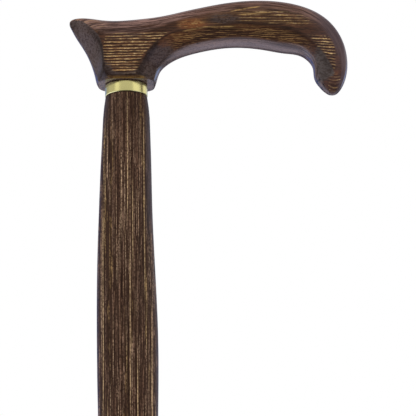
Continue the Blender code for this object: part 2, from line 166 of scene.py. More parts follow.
# Golden lines show on the handle's sides inside these zones: height over the seat, then from X to X
NECK_LINES = (
    (0.0010, -0.0010, 0.0045), (0.0030, -0.0050, 0.0056), (0.0048, -0.0094, 0.0062),
    (0.0080, -0.0111, 0.0070), (0.0125, -0.0114, 0.0090), (0.0180, -0.0112, 0.0138),
    (0.0235, -0.0100, 0.0212), (0.0250, -0.0060, 0.0214),
)
GRIP_LINES = (
    (0.0265, 0.0880, 0.0940), (0.0275, 0.0640, 0.0930), (0.0290, 0.0570, 0.0935), (0.0320, 0.0560, 0.0930),
    (0.0345, 0.0580, 0.0880), (0.0358, 0.0620, 0.0790),
)
NOSE_LINES = (
    (0.0045, 0.1042, 0.1056), (0.0060, 0.1036, 0.1058), (0.0103, 0.1014, 0.1058), (0.0156, 0.0966, 0.1058),
    (0.0208, 0.0930, 0.1042), (0.0222, 0.0900, 0.1000),
)
NOSE_TIP_LINES = (
    (-0.0061, 0.1025, 0.1070), (-0.0030, 0.1010, 0.1086), (0.0015, 0.1008, 0.1088), (0.0030, 0.1020, 0.1070),
)
FAINT_LINES = (
    (0.0268, 0.0480, 0.0700), (0.0285, 0.0400, 0.0990), (0.0300, 0.0380, 0.0980),
    (0.0350, 0.0440, 0.0940), (0.0372, 0.0520, 0.0830),
)

# How strong the lines are in each zone, and how soft the zones' edges are
LINE_ZONES = (
    (NECK_LINES, 1.0), (GRIP_LINES, 0.50), (NOSE_LINES, 0.74), (NOSE_TIP_LINES, 0.44), (FAINT_LINES, 0.27),
)
ZONE_EDGE = 0.0014

# Painted shade: the dark band above the neck's lines where the side rounds into the top, and the dark rim at
# the bevel's edge above the honey strip: middle height and reach
SHOULDER_SHADE = (0.0257, 0.0014)
RIM_SHADE = (0.0017, 0.0004)

# Next to the collar, the honey-coloured strip, a painted reflection of the brass collar in the seat's bevel,
# and the rim's painted shade fade out over these heights and X
REFLECTION_STRIP_TOP = (0.0011, 0.0017)
REFLECTION_STRIP_SIDES = (0.0088, 0.0108)
RIM_SHADE_SIDES = (0.0100, 0.0112)

# The seat's mottle fades out over these heights above the seat, and sets in over these X
SEAT_FACE = (0.0004, 0.0012)
BESIDE_COLLAR = (0.0102, 0.0116)

# Rungs of the handle over which a look starts or ends or, where four are given, starts and then ends
BEAK_RUNGS = (5.0, 9.0)
CREASE_SHADE_RUNGS = (2.0, 5.5, 7.8, 8.3)
SHOULDER_SHADE_RUNGS = (4.5, 6.5, 14.5, 16.0)
SEAT_RUNGS = (7.3, 8.3, 11.8, 13.0)
FRONT_RUNGS = (12.5, 14.0)
RIDGE_SHADE_RUNGS = (12.0, 14.0, 25.5, 26.3)
WIDER_RIDGE_SHADE_RUNGS = (17.0, 20.0)
ARCH_RUNGS = (14.5, 15.5)
GRIP_RUNGS = (15.0, 16.5, 21.5, 23.5)
CROWN_RUNGS = (15.5, 17.5, 21.5, 24.0)
NOSE_RUNGS = (21.5, 24.0)
NOSE_END_RUNGS = (22.5, 24.2, 25.8, 26.8)

# The same for heights over the seat, and for places round a section, counted as shares_around says
ARCH_HEIGHTS = (0.0205, 0.0225)
PAST_RIDGE = (2.0, 2.3)
LOWER_FACET = (2.3, 2.7, 4.0, 4.5)
FACET_END = (4.0, 4.6)
UNDERSIDE = (4.2, 4.8)

# Patches on the handle's sides: middle X and height, reach along X and in height, and strength
AMBER_PATCHES = (
    (0.0335, 0.0280, 0.0095, 0.0050, 1.0),
    (-0.0180, 0.0262, 0.0045, 0.0035, 0.30),
    (0.0640, 0.0262, 0.0200, 0.0030, 0.35),
    (0.1057, 0.0029, 0.0019, 0.0014, 0.85),
    (0.0280, 0.0215, 0.0090, 0.0035, 0.55),
)
SCORCHED_PATCHES = (
    (0.0440, 0.0297, 0.0066, 0.0022, 0.40),
    (0.0520, 0.0272, 0.0060, 0.0016, 0.60),
    (0.0232, 0.0282, 0.0050, 0.0026, 0.65),
    (-0.0110, 0.0032, 0.0048, 0.0036, 0.85),
    (0.0072, 0.0050, 0.0028, 0.0070, 0.70),
    (-0.0128, 0.0240, 0.0030, 0.0040, 0.60),
    (-0.0268, 0.0310, 0.0034, 0.0034, 0.45),
    (0.1060, -0.0040, 0.0060, 0.0036, 0.30),
    (0.1045, 0.0058, 0.0030, 0.0016, 0.60),
    (0.0905, 0.0245, 0.0150, 0.0042, 0.50),
)

# Plain, greyish patches on the handle's sides
PLAIN_PATCHES = (
    (0.0500, 0.0306, 0.0160, 0.0048, 0.75),
    (0.0640, 0.0368, 0.0080, 0.0016, 0.50),
)

# Single veins on the handle's side: from X and height, to X and height, half width, strength
GOLDEN_VEINS = (
    (0.0280, 0.0243, 0.0400, 0.0262, 0.00050, 0.7),
    (0.0372, 0.0264, 0.0560, 0.0267, 0.00045, 0.9),
    (0.0520, 0.0348, 0.0690, 0.0378, 0.00045, 0.8),
    (0.0560, 0.0330, 0.0760, 0.0345, 0.00035, 0.6),
)
DARK_VEINS = (
    (0.0072, 0.0059, 0.0178, 0.0215, 0.00340, 0.78),
    (0.0370, 0.0253, 0.0620, 0.0255, 0.00050, 0.8),
    (0.0660, 0.0372, 0.0935, 0.0325, 0.00060, 0.6),
    (0.0560, 0.0360, 0.0760, 0.0366, 0.00040, 0.6),
)

# How far the veins wave, and the share of a vein's length over which each end fades
VEIN_WAVE = 0.0006
VEIN_FADE = 0.2

# Wood colours, as the screen shows them
# The darkest wood, and also the colour of the painted shade on the handle
SOOT_AND_SHADE = colour(30, 17, 11)
SCORCHED = colour(52, 34, 25)
BROWN = colour(94, 64, 47)
RUSSET = colour(114, 72, 49)
AMBER = colour(134, 82, 46)
# A painted reflection of the brass collar in the seat's bevel
HONEY_REFLECTION = colour(138, 104, 48)
DARK_HONEY_REFLECTION = colour(88, 60, 30)
GOLD = colour(208, 164, 102)
PALE_GOLD = colour(250, 214, 154)
TOP_DARK = colour(62, 42, 36)
# A pale purple-brown on the top's grain that is a painted sheen
TOP_SHEEN_BROWN = colour(170, 131, 118)
NOSE_BROWN = colour(85, 70, 73)
END_DARK = colour(48, 35, 29)
END_GRAIN = colour(84, 70, 66)
BEAK_END_DARK = colour(64, 50, 46)
BEAK_END = colour(104, 90, 87)
NOSE_END = colour(100, 92, 89)
NOSE_END_DARK = colour(76, 67, 63)
UNDER_DARK = colour(36, 23, 19)
UNDER_PALE = colour(140, 116, 108)
SHAFT_SOOT = colour(36, 21, 14)
SHAFT_DARK = colour(62, 41, 28)
SHAFT_BROWN = colour(82, 58, 45)
SHAFT_RED = colour(190, 144, 114)
SHAFT_TAN = colour(212, 170, 140)
SHAFT_GOLD = colour(226, 182, 120)
SHAFT_PALE = colour(248, 214, 170)
# A painted sheen along the shaft's sides
SHEEN_PLUM_DARK = colour(54, 42, 41)
SHEEN_PLUM = colour(82, 68, 69)

# The other materials' colours, and the varnish's index of refraction
BRASS = colour(229, 219, 146)
BRASS_PALE = colour(238, 228, 156)
RUBBER = colour(27, 27, 28)
RUBBER_DUSTY = colour(40, 40, 41)
STEEL = colour(180, 180, 182)
STEEL_PALE = colour(200, 200, 202)
FLOOR = colour(240, 240, 241)
FLOOR_PALE = colour(244, 244, 245)
VARNISH_IOR = 1.25

# The shaft's wood: the spacing of its upright layers, and how far they stray and sway
SHEET_PERIOD = 0.00178
SHEET_DRIFT = 0.0011
SHEET_SWAY = 0.0006

# The shaft's pale lines weaken to half from the first height up to the second
SHAFT_FADE = (0.825, 0.862)

# Long golden lines on the shaft: X, from height to height, half width and strength
SHAFT_VEINS = (
    (0.0006, 0.800, 0.868, 0.00024, 1.0),
    (0.0030, 0.775, 0.815, 0.00024, 0.7),
    (0.0088, 0.760, 0.850, 0.00028, 0.6),
    (0.0052, 0.650, 0.722, 0.00026, 1.0),
    (0.0122, 0.680, 0.750, 0.00026, 0.7),
    (-0.0119, 0.700, 0.800, 0.00026, 0.8),
    (-0.0098, 0.640, 0.700, 0.00026, 0.6),
    (0.0015, 0.700, 0.775, 0.00024, 0.8),
)

# Painted sheen: plain plum-brown bands along the shaft's sides: from X to X, from height to height, and
# strength
SHEEN_BANDS = (
    (0.0098, 0.0170, 0.792, 0.880, 0.80),
    (-0.0170, -0.0088, 0.850, 0.880, 0.75),
)

# How soft the ends of the shaft's veins and bands are, and the sides of its bands and of its front
END_EDGE = 0.010
SIDE_EDGE = 0.0010

# Light: the white background, the fill, and for mirror rays the studio above and below the horizon
WHITE = (1.0, 1.0, 1.0, 1.0)
FILL = (0.56, 0.575, 0.60, 1.0)
STUDIO_HIGH = (0.60, 0.60, 0.61, 1.0)
STUDIO_LOW = (0.12, 0.12, 0.14, 1.0)
HORIZON_EDGE = 6.0

# Cards for mirror rays, in degrees: azimuths, 0 on the camera's side and 90 along +X, heights, edge, light
STUDIO_CARDS = (
    (-62, -38, 4, 50, 4, (1.02, 1.02, 1.03)),
    (-108, -64, 4, 50, 5, (0.56, 0.56, 0.58)),
    (-160, -110, 4, 50, 5, (0.40, 0.40, 0.46)),
    (38, 75, 4, 50, 4, (1.02, 1.02, 1.03)),
    (77, 152, 24, 50, 5, (0.30, 0.30, 0.37)),
    (77, 103, 7, 26, 4, (0.80, 0.80, 0.84)),
    (103, 127, 7, 26, 4, (1.04, 1.04, 1.08)),
    (127, 152, 7, 26, 4, (0.76, 0.76, 0.84)),
    (40, 104, -50, -8, 10, (0.90, 0.95, 1.35)),
    (-152, -54, -60, -8, 10, (1.50, 1.60, 2.20)),
    (141, 157, 1, 15, 5, (0.85, 1.20, 2.10)),
    (-168, -139, -6, 20, 4, (0.20, 0.40, 1.10)),
    (158, 200, 2, 46, 10, (0.28, 0.26, 0.34)),
    (150, 200, -90, -14, 12, (1.10, 1.04, 1.32)),
    (160, 200, -6, 9, 5, (0.05, 0.05, 0.08)),
    (-200, 200, 66, 120, 8, (0.30, 0.28, 0.36)),
)

# Lamps: name, place, width, height and power, and the point that they all face
LAMPS = (
    ("left_softbox", (-1.30, -1.05, 1.15), 0.7, 1.2, 3.2),
    ("right_softbox", (1.40, -1.00, 1.05), 0.7, 1.2, 2.8),
    ("top_softbox", (0.0, -0.2, 2.6), 1.4, 1.4, 5.2),
    ("back_softbox", (0.3, 1.6, 1.6), 1.2, 1.2, 3.0),
)
LAMP_TARGET = (0.03, 0.0, 0.85)

# The floor, just under the ferrule
FLOOR_RADIUS = 9.0
FLOOR_DROP = 0.0002

# The camera, fitted to the photograph's outline. It rises in degrees and rolls in radians
CAMERA_DISTANCE = 2.4
PICTURE_WIDTH = 0.21008
CAMERA_PLACE = (0.04061914, -2.28969134, 0.14826309)
CAMERA_RISE = 16.0134
CAMERA_ROLL = -0.0103
CAMERA_CLIP = (0.05, 50)
SENSOR_WIDTH = 36


def smooth_line(points, start=None, end=None):
    """A smooth curve through points of (position, values), with a given slope at an end, or none."""
    knots = np.array([p[0] for p in points], float)
    values = np.array([p[1:] for p in points], float)
    step = np.diff(knots)
    slope = np.diff(values, axis=0) / step[:, None]
    count = len(knots)
    matrix = np.zeros((count, count))
    right = np.zeros_like(values)
    for i in range(1, count - 1):
        matrix[i, i - 1 : i + 2] = step[i - 1], 2 * (step[i - 1] + step[i]), step[i]
        right[i] = 6 * (slope[i] - slope[i - 1])
    matrix[0, 0] = matrix[-1, -1] = 1.0
    if start is not None:
        matrix[0, :2] = 2 * step[0], step[0]
        right[0] = 6 * (slope[0] - np.array(start, float))
    if end is not None:
        matrix[-1, -2:] = step[-1], 2 * step[-1]
        right[-1] = 6 * (np.array(end, float) - slope[-1])
    bend = np.linalg.solve(matrix, right)

    def at(position):
        i = int(np.clip(np.searchsorted(knots, position) - 1, 0, count - 2))
        h, a, b = step[i], knots[i + 1] - position, position - knots[i]
        return (
            (bend[i] * a**3 + bend[i + 1] * b**3) / (6 * h)
            + (values[i] / h - bend[i] * h / 6) * a
            + (values[i + 1] / h - bend[i + 1] * h / 6) * b
        )

    return at


def back(share):
    """An X behind the neck: 0 at the neck's back, 1 at the beak's tip."""
    return -(NECK_BACK + share * (BEAK_REACH - NECK_BACK))


def front(share):
    """An X before the neck: 0 at the neck's front, 1 at the nose's front."""
    return NECK_FRONT + share * (NOSE_REACH - NECK_FRONT)


def on_top(share):
    """A height on the top line: 0 at the saddle, 1 at the crown."""
    return SADDLE_HEIGHT + share * CROWN_RISE


def on_beak(share):
    """A height on the beak's top: 0 at the saddle, 1 at the beak's highest point."""
    return SADDLE_HEIGHT + share * BEAK_RISE


def in_grip(share):
    """A height inside the grip: 0 at the arch under it, 1 at the crown."""
    return ARCH_HEIGHT + share * GRIP_DEPTH


def top_line():
    """The line along the top: X and height over the rungs."""
    points = (
        (0, back(1.000), BEAK_TIP_HEIGHT),
        (1, back(0.896), on_beak(0.76)),
        (2, back(0.664), on_beak(1.00)),
        (4, back(0.200), on_beak(0.72)),
        (6, -0.82 * NECK_BACK, on_beak(0.32)),
        (8, -0.47 * NECK_BACK, on_beak(0.00)),
        (10, 0.02 * NECK_FRONT, on_top(0.01)),
        (12, 0.57 * NECK_FRONT, on_top(0.085)),
        (14, front(0.018), on_top(0.190)),
        (16, front(0.158), on_top(0.465)),
        (18, front(0.351), on_top(0.855)),
        (20, front(0.560), CROWN_HEIGHT),
        (22, front(0.751), 0.938 * CROWN_HEIGHT),
        (24, front(0.909), 0.741 * CROWN_HEIGHT),
        (26, front(0.997), 0.338 * CROWN_HEIGHT),
        (27, front(0.989), 0.056 * CROWN_HEIGHT),
        (28, front(NOSE_TIP_SHARE), -NOSE_DROP),
    )
    return smooth_line(points, start=(0, BEAK_BLUNTNESS), end=(-0.85 * NOSE_BLUNTNESS, 0))


def keel_line():
    """The line along the underside: X and height over the rungs."""
    tip, arch = BEAK_TIP_HEIGHT, ARCH_HEIGHT
    points = (
        (0, back(1.000), tip),
        (1, back(0.940), 0.921 * tip),
        (2, back(0.784), 0.796 * tip),
        (4, back(0.385), 0.523 * tip),
        (6, back(0.095), 0.223 * tip),
        (7, back(0.022), 0.099 * tip),
        (8, -0.91 * NECK_BACK, 0.0),
        (9, -0.55 * NECK_BACK, -SEAT_CUT),
        (10, 0.0, -SEAT_CUT),
        (11, 0.55 * NECK_FRONT, -SEAT_CUT),
        (12, 0.88 * NECK_FRONT, 0.0),
        (13, front(0.000), 0.166 * arch),
        (14, front(0.015), 0.355 * arch),
        (15, front(0.048), 0.540 * arch),
        (16, front(0.115), 0.735 * arch),
        (17, front(0.213), 0.879 * arch),
        (18, front(0.328), 0.976 * arch),
        (19, front(0.442), 0.999 * arch),
        (20, front(0.557), 0.943 * arch),
        (21, front(0.661), 0.852 * arch),
        (22, front(0.744), 0.780 * arch),
        (23, front(0.798), 0.578 * arch),
        (24, front(0.819), 0.360 * arch),
        (25, front(0.824), 0.137 * arch),
        (26, front(0.846), -0.156 * NOSE_DROP),
        (27, front(0.879), -0.700 * NOSE_DROP),
        (28, front(NOSE_TIP_SHARE), -NOSE_DROP),
    )
    return smooth_line(points, start=(0, -BEAK_BLUNTNESS), end=(0.35 * NOSE_BLUNTNESS, 0))


def ridge_line():
    """The side's ridge: X, half the width and height over the rungs."""
    tip, arch = BEAK_TIP_HEIGHT, ARCH_HEIGHT
    neck = 0.5 * NECK_THICKNESS
    grip = 0.5 * GRIP_THICKNESS
    points = (
        (0, back(1.00), 0.0, tip),
        (1, back(0.86), 0.20 * neck, 1.006 * tip),
        (2, back(0.64), 0.39 * neck, 0.960 * tip),
        (4, back(0.18), 0.76 * neck, 0.773 * tip),
        (5, -0.96 * NECK_BACK, 0.91 * neck, 0.650 * tip),
        (6, -0.81 * NECK_BACK, 0.985 * neck, 0.497 * tip),
        (7, -0.76 * NECK_BACK, neck, 0.294 * tip),
        (8, -0.70 * NECK_BACK, neck, 2.1 * SEAT_BEVEL),
        (9, -0.42 * NECK_BACK, neck, 1.1 * SEAT_BEVEL),
        (10, -0.04 * NECK_BACK, neck, SEAT_BEVEL),
        (11, 0.29 * NECK_FRONT, neck, 1.6 * SEAT_BEVEL),
        (12, 0.47 * NECK_FRONT, neck, 0.283 * arch),
        (13, 0.60 * NECK_FRONT, neck, 0.493 * arch),
        (14, 0.80 * NECK_FRONT, neck, 0.712 * arch),
        (15, front(0.020), neck, 0.922 * arch),
        (16, front(0.104), neck, in_grip(0.10)),
        (17, front(0.214), grip, in_grip(0.15)),
        (18, front(0.329), grip, in_grip(0.22)),
        (19, front(0.443), grip, in_grip(0.28)),
        (20, front(0.553), 0.99 * grip, in_grip(0.24)),
        (21, front(0.661), 0.97 * grip, in_grip(0.17)),
        (22, front(0.754), 0.92 * grip, in_grip(0.03)),
        (23, front(0.823), 0.87 * grip, 0.825 * arch),
        (24, front(0.867), 0.80 * grip, 0.597 * arch),
        (25, front(0.896), 0.72 * grip, 0.367 * arch),
        (26, front(0.919), 0.65 * grip, 0.156 * arch),
        (27, front(0.929), 0.50 * grip, -0.28 * NOSE_DROP),
        (28, front(NOSE_TIP_SHARE), 0.0, -NOSE_DROP),
    )
    return smooth_line(points, start=(0, BEAK_BLUNTNESS, 0), end=(0, -1.1 * NOSE_BLUNTNESS, 0))


def half_widths():
    """Half the crown's width, half the underside's width and the underside's bulge over the rungs."""
    crown = 0.5 * NECK_THICKNESS
    grip = 0.5 * GRIP_THICKNESS
    under = 0.5 * UNDERSIDE_WIDTH
    seat = 0.5 * SEAT_WIDTH
    bulge = UNDERSIDE_BULGE
    points = (
        (0, 0.0, 0.0, 0.0),
        (1, 0.17 * crown, 0.14 * under, 0.2 * bulge),
        (2, 0.31 * crown, 0.19 * under, 0.3 * bulge),
        (4, 0.58 * crown, 0.25 * under, 0.5 * bulge),
        (6, 0.77 * crown, 0.39 * under, 0.7 * bulge),
        (7, 0.85 * crown, 0.55 * under, 0.8 * bulge),
        (8, 0.89 * crown, 0.51 * seat, 0.2 * bulge),
        (9, 0.91 * crown, 0.93 * seat, 0.0),
        (10, 0.92 * crown, seat, 0.0),
        (11, 0.92 * crown, 0.97 * seat, 0.0),
        (12, 0.92 * crown, 0.68 * seat, 0.2 * bulge),
        (13, 0.92 * crown, 0.84 * under, bulge),
        (14, 0.91 * crown, 0.84 * under, 1.1 * bulge),
        (16, 0.89 * crown, 0.97 * under, bulge),
        (18, 0.84 * grip, under, bulge),
        (20, 0.81 * grip, 1.04 * under, bulge),
        (22, 0.78 * grip, 1.02 * under, 1.2 * bulge),
        (24, 0.72 * grip, 0.85 * under, 1.8 * bulge),
        (25, 0.67 * grip, 0.75 * under, 1.8 * bulge),
        (26, 0.62 * grip, 0.66 * under, 1.4 * bulge),
        (27, 0.49 * grip, 0.50 * under, 0.8 * bulge),
        (28, 0.0, 0.0, 0.0),
    )
    start = (0.80 * BEAK_BLUNTNESS, 0.47 * BEAK_BLUNTNESS, 0)
    end = (-NOSE_BLUNTNESS, -0.75 * NOSE_BLUNTNESS, 0)
    return smooth_line(points, start=start, end=end)


def bend_round(a, b, c, steps):
    """Points on the curve that leaves a towards b and reaches c from b, without c itself."""
    shares = [i / steps for i in range(steps)]
    return [a * (1 - s) ** 2 + b * 2 * s * (1 - s) + c * s**2 for s in shares]


def run(start, end, steps):
    """Points on the straight line from start to end, without end itself."""
    return [start + (end - start) * i / steps for i in range(steps)]


def toward(corner, other, distance):
    """The point at a distance from a corner towards another point, and never halfway or more."""
    reach = other - corner
    length = np.linalg.norm(reach)
    if length == 0:
        return corner
    return corner + reach * min(distance / length, CORNER_LIMIT)


def handle_section(top, crown, ridge, edge, keel):
    """Half of one section, from the top line over the crown, the ridge and the edge to the keel."""
    middle = np.array((keel[0], 0.5 * edge[1], keel[2]))
    shoulder = toward(crown, ridge, SHOULDER_DEPTH)
    above_ridge = toward(ridge, crown, RIDGE_ROUNDING)
    below_ridge = toward(ridge, edge, RIDGE_ROUNDING)
    above_edge = toward(edge, ridge, EDGE_ROUNDING)
    below_edge = toward(edge, middle, EDGE_ROUNDING)
    return (
        bend_round(top, crown, shoulder, CROWN_STEPS)
        + run(shoulder, above_ridge, FLAT_STEPS)
        + bend_round(above_ridge, ridge, below_ridge, CORNER_STEPS)
        + run(below_ridge, above_edge, FLAT_STEPS)
        + bend_round(above_edge, edge, below_edge, CORNER_STEPS)
        + bend_round(below_edge, middle, keel, UNDERSIDE_STEPS)
        + [keel]
    )


def handle_sections():
    """Half of each section between the beak's and the nose's tips, at steps between the rungs."""
    top_at = top_line()
    keel_at = keel_line()
    ridge_at = ridge_line()
    widths_at = half_widths()
    for i in range(1, LAST_RUNG * RUNG_STEPS):
        rung = i / RUNG_STEPS
        top_x, top_z = top_at(rung)
        keel_x, keel_z = keel_at(rung)
        crown_half, under_half, bulge = widths_at(rung)
        along = keel_at(rung + SLOPE_STEP) - keel_at(rung - SLOPE_STEP)
        along = along / np.linalg.norm(along)
        top = np.array((top_x, 0.0, top_z))
        crown = np.array((top_x, -crown_half, top_z))
        ridge = ridge_at(rung) * np.array((1, -1, 1))
        keel = np.array((keel_x, 0.0, keel_z))
        edge = keel + np.array((-along[1] * bulge, -under_half, along[0] * bulge))
        section = np.array(handle_section(top, crown, ridge, edge, keel))
        if rung < SEAT_LAST_RUNG:
            section[:, 2] = np.maximum(section[:, 2], 0.0)
        yield section


def put_in_scene(name, data):
    """Link an object that shows a mesh, a light or a camera."""
    made = bpy.data.objects.new(name, data)
    bpy.context.scene.collection.objects.link(made)
    return made


def put_mesh(name, data, material):
    """Make a mesh of one material from a bmesh and put it in the scene."""
    mesh = bpy.data.meshes.new(name)
    data.to_mesh(mesh)
    data.free()
    mesh.materials.append(material)
    return put_in_scene(name, mesh)


def add_piece(name, data, material, node):
    """Put a mesh in the scene as the piece that stands for a CAD node."""
    piece = put_mesh(name, data, material)
    piece.data.shade_smooth()
    piece.data.set_sharp_from_angle(angle=math.radians(SHARP_ANGLE))
    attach(piece, "root")
    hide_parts(node)


def skin(data, rings):
    """Faces from each ring of points to the next, where a ring of one point closes an end."""
    sides = max(len(ring) for ring in rings)
    for low, high in zip(rings, rings[1:]):
        for i in range(sides):
            j = (i + 1) % sides
            corners = []
            for corner in (low[i % len(low)], low[j % len(low)], high[j % len(high)], high[i % len(high)]):
                if corner not in corners:
                    corners.append(corner)
            data.faces.new(corners)
    bmesh.ops.recalc_face_normals(data, faces=data.faces)
    return data


def turn(profile):
    """Turn a closed profile of (radius, height) points about the Z axis."""
    data = bmesh.new()
    angles = [math.tau * i / TURNED_SIDES for i in range(TURNED_SIDES)]
    rings = []
    for radius, height in profile:
        points = [(radius * math.cos(a), radius * math.sin(a), height) for a in angles]
        if radius == 0:
            points = points[:1]
        rings.append([data.verts.new(point) for point in points])
    if len(rings[0]) > 1:
        rings.append(rings[0])
    return skin(data, rings)


def rise(value, low, high):
    """0 up to low, 1 from high on, and a smooth step between them."""
    share = np.clip((value - low) / (high - low), 0.0, 1.0)
    return share * share * (3 - 2 * share)


def span(value, start, full, fading, end):
    """0 up to start, 1 from full to fading, 0 from end on, and smooth steps between them."""
    return rise(value, start, full) * (1 - rise(value, fading, end))


def bell(value, middle, width):
    """1 in the middle, and falling off smoothly to both sides."""
    return np.exp(-(((value - middle) / width) ** 2))


def strongest(x, height, patches):
    """The strongest of some oval patches of the handle's side, at each place."""
    found = []
    for middle_x, middle_height, reach_x, reach_height, strength in patches:
        away = np.hypot((x - middle_x) / reach_x, (height - middle_height) / reach_height)
        found.append(strength * (1 - rise(away, 0.3, 1.0)))
    return np.max(found, axis=0)


def shares_around():
    """Each point's place round half a section: 0 on top, 1 to 2 the flat side, 3 to 4 the lower facet."""
    steps = (CROWN_STEPS, FLAT_STEPS, CORNER_STEPS, FLAT_STEPS, CORNER_STEPS, UNDERSIDE_STEPS)
    shares = [face + i / count for face, count in enumerate(steps) for i in range(count)]
    return np.array(shares + [float(len(steps))])


def inside(zone, x, height):
    """1 inside a zone and 0 outside it, with a soft edge."""
    heights, lefts, rights = zip(*zone)
    left = np.interp(height, heights, lefts)
    right = np.interp(height, heights, rights)
    low, high = heights[0], heights[-1]
    soft = ZONE_EDGE
    share = span(x, left - soft, left + soft, right - soft, right + soft)
    return share * span(height, low - soft, low + soft, high - soft, high + soft)


def figure_of(rung, around, x, height):
    """How strong the golden lines, the fine lines, the amber and the soot with painted shade are at a
    section's points.
    """
    lines = np.max([strength * inside(zone, x, height) for zone, strength in LINE_ZONES], axis=0)
    lines *= 1 - rise(around, *FACET_END)
    lines *= 1 - rise(around, *PAST_RIDGE) * rise(height, *ARCH_HEIGHTS) * rise(rung, *ARCH_RUNGS)
    fine = span(around, *LOWER_FACET) * span(rung, *GRIP_RUNGS)
    fine = np.maximum(fine, 0.5 * inside(FAINT_LINES, x, height) * (1 - rise(around, *PAST_RIDGE)))
    amber = strongest(x, height, AMBER_PATCHES)
    on_nose = rise(rung, *NOSE_RUNGS)
    # Painted shade along the rounded ridge between the side and the lower facet, wider on the nose
    middle = 2.25 + 0.30 * on_nose
    width = 0.13 + 0.20 * rise(rung, *WIDER_RIDGE_SHADE_RUNGS) + 0.20 * on_nose
    ridge = bell(around, middle, width) * span(rung, *RIDGE_SHADE_RUNGS)
    # Painted shade: a dark band where the side rounds into the top
    band = bell(height, *SHOULDER_SHADE) * span(rung, *SHOULDER_SHADE_RUNGS)
    # Painted shade along the edge between the neck's side and its back facet
    crease = bell(around, 2.35, 0.65) * span(rung, *CREASE_SHADE_RUNGS)
    # Painted shade: a dark line at the bevel's top edge, above the collar
    rim_shade = bell(height, *RIM_SHADE) * (1 - rise(np.abs(x), *RIM_SHADE_SIDES))
    rim_shade *= 1 - rise(around, *UNDERSIDE)
    patches = strongest(x, height, SCORCHED_PATCHES)
    # Soot patches, and the painted shade of the ridge, band, crease and rim
    soot_and_shade = np.max([patches, (0.9 - 0.5 * on_nose) * ridge, 0.7 * band, 0.95 * crease, 0.8 * rim_shade], axis=0)
    return np.stack((lines, fine, amber, soot_and_shade), axis=1)


def tone_of(rung, around, x, height):
    """How far a section's points show end grain, the purple top with its painted sheen, the honey strip that
    is a painted reflection of the collar, and the underside.
    """
    crease = 1.55 + 0.40 * rise(rung, 8.5, 9.4)
    end = rise(around, crease, crease + 0.6)
    fade = 14.0 + 1.0 * rise(around, 2.8, 3.8)
    end *= 1 - rise(rung, fade, fade + 1.3) + span(rung, *NOSE_END_RUNGS)
    end = np.maximum(end, 0.8 * strongest(x, height, PLAIN_PATCHES))
    wider = 0.9 * (1 - rise(rung, 3.5, 6.5))
    top = 1 - rise(around, 0.85 + wider, 1.25 + wider)
    top *= 1 - 0.5 * span(rung, *CROWN_RUNGS)
    side = 1 - rise(around, *UNDERSIDE)
    # The honey strip is a painted reflection of the collar in the seat's bevel
    collar_reflection = (1 - rise(height, *REFLECTION_STRIP_TOP)) * (1 - rise(np.abs(x), *REFLECTION_STRIP_SIDES)) * side
    under = rise(around, *UNDERSIDE) * np.maximum(rise(rung, *FRONT_RUNGS), span(rung, *SEAT_RUNGS))
    return np.stack((end, top, collar_reflection, under), axis=1)


def form_of(rung, x, height):
    """The nose's share at a section's points, how far it bends the layers, and the beak's share."""
    nose = rise(rung, *NOSE_RUNGS)
    bend = NOSE_BEND * (x - NOSE_BEND_X) ** 2 * (1 - rise(height, 0.0, NOSE_BEND_TOP)) * nose
    beak = 1 - rise(rung, *BEAK_RUNGS)
    return np.stack((np.full(len(x), nose), bend, np.full(len(x), beak)), axis=1)


def grain_of(along, section):
    """The length along the handle, and round the section from its top, at a section's points."""
    girth = np.concatenate(([0.0], np.cumsum(np.linalg.norm(np.diff(section, axis=0), axis=1))))
    return np.stack((np.full(len(section), along), girth, np.zeros(len(section))), axis=1)


def mirrored(half):
    """A closed ring's values from those of its half: the other half repeats them backwards."""
    return np.vstack((half, half[-2:0:-1]))


def carve_handle():
    """The handle's outer form on the collar, closed, without the stud's bore."""
    data = bmesh.new()
    colours = data.verts.layers.float_color
    vectors = data.verts.layers.float_vector
    layers = (colours.new("figure"), colours.new("tone"), vectors.new("grain"), vectors.new("form"))
    around = shares_around()
    rings = []
    along = 0.0
    last_top = None
    for index, half in enumerate(handle_sections(), start=1):
        rung = index / RUNG_STEPS
        along += 0.0 if last_top is None else float(np.linalg.norm(half[0] - last_top))
        last_top = half[0]
        x, height = half[:, 0], half[:, 2]
        places = mirrored(half)
        places[len(half):, 1] *= -1
        places[:, 2] += SEAT_Z
        places = np.clip(places, HANDLE_LOW, HANDLE_HIGH)
        figures = mirrored(figure_of(rung, around, x, height))
        tones = mirrored(tone_of(rung, around, x, height))
        grains = mirrored(grain_of(along, half))
        grains[len(half):, 1] *= -1
        forms = mirrored(form_of(rung, x, height))
        ring = []
        for place, *values in zip(places, figures, tones, grains, forms):
            vertex = data.verts.new(place)
            for layer, value in zip(layers, values):
                vertex[layer] = value
            ring.append(vertex)
        rings.append(ring)
    beak = data.verts.new((back(1.0), 0.0, SEAT_Z + BEAK_TIP_HEIGHT))
    nose = data.verts.new((front(NOSE_TIP_SHARE), 0.0, SEAT_Z - NOSE_DROP))
    for end, neighbour in ((beak, rings[0][0]), (nose, rings[-1][0])):
        for layer in layers:
            end[layer] = neighbour[layer]
    return skin(data, [[beak]] + rings + [[nose]])


